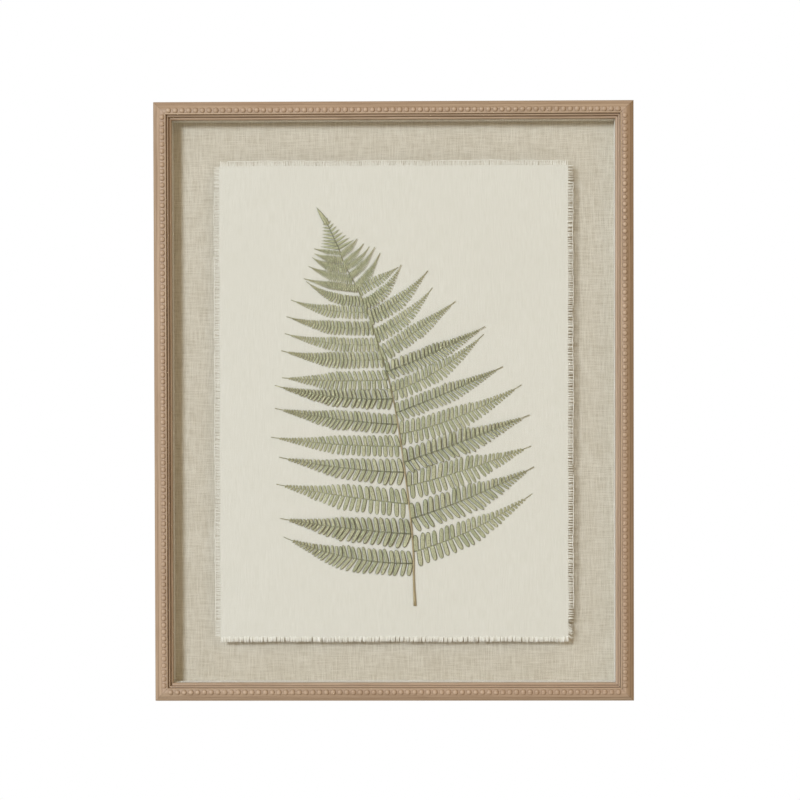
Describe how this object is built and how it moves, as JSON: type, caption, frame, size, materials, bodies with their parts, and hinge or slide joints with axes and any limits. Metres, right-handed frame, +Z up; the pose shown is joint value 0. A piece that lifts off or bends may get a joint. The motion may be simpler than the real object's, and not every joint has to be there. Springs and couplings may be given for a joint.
{
  "type": "pressed fern frame",
  "caption": "Dried fern frond pressed on a frayed linen sheet, raised over a linen backing inside a glazed shadow-box frame of pale wood with a beaded moulding.",
  "frame": {"origin": "the point on the wall that it hangs on: in the sawtooth plate's middle notch, in the plane of the bumpers' rear faces", "axes": "+Z up the frame, +X to the right seen from the front, +Y towards the wall; the front faces -Y"},
  "size_m": [0.4064, 0.0375, 0.508],
  "materials": {
    "oak": "pale limed wood, closed grain, dull wax sheen",
    "glass": "clear flat glazing",
    "backing_linen": "slubby beige linen weave",
    "sheet_linen": "fine pale linen with frayed edges",
    "foam_board": "white foam board",
    "dried_leaf": "dried fern leaflets, matt grey-green with brown tips",
    "dried_stem": "dried straw-brown stalk",
    "fibreboard": "brown hardboard",
    "kraft_paper": "brown paper, slightly cockled",
    "hanger_metal": "thin plated sheet metal",
    "bumper_rubber": "soft pale discs"
  },
  "bodies": {
    "root": {"rail_left": "oak", "rail_right": "oak", "rail_top": "oak", "rail_bottom": "oak", "glass": "glass", "spacer_left": "backing_linen", "spacer_right": "backing_linen", "spacer_top": "backing_linen", "spacer_bottom": "backing_linen", "linen_board": "backing_linen", "riser_board": "foam_board", "frayed_sheet": "sheet_linen", "stem": "dried_stem", "frond_tip": "dried_leaf", "leaflet_left_01": "dried_leaf", "leaflet_left_02": "dried_leaf", "leaflet_left_03": "dried_leaf", "leaflet_left_04": "dried_leaf", "leaflet_left_05": "dried_leaf", "leaflet_left_06": "dried_leaf", "leaflet_left_07": "dried_leaf", "leaflet_left_08": "dried_leaf", "leaflet_left_09": "dried_leaf", "leaflet_left_10": "dried_leaf", "leaflet_left_11": "dried_leaf", "leaflet_left_12": "dried_leaf", "leaflet_left_13": "dried_leaf", "leaflet_left_14": "dried_leaf", "leaflet_left_15": "dried_leaf", "leaflet_left_16": "dried_leaf", "leaflet_left_17": "dried_leaf", "leaflet_left_18": "dried_leaf", "leaflet_right_01": "dried_leaf", "leaflet_right_02": "dried_leaf", "leaflet_right_03": "dried_leaf", "leaflet_right_04": "dried_leaf", "leaflet_right_05": "dried_leaf", "leaflet_right_06": "dried_leaf", "leaflet_right_07": "dried_leaf", "leaflet_right_08": "dried_leaf", "leaflet_right_09": "dried_leaf", "leaflet_right_10": "dried_leaf", "leaflet_right_11": "dried_leaf", "leaflet_right_12": "dried_leaf", "leaflet_right_13": "dried_leaf", "leaflet_right_14": "dried_leaf", "leaflet_right_15": "dried_leaf", "leaflet_right_16": "dried_leaf", "leaflet_right_17": "dried_leaf", "leaflet_right_18": "dried_leaf", "back_board": "fibreboard", "dust_cover": "kraft_paper", "sawtooth_hanger": "hanger_metal", "hanger_nail_left": "hanger_metal", "hanger_nail_right": "hanger_metal", "bumper_left": "bumper_rubber", "bumper_right": "bumper_rubber"}
  },
  "joints": []
}
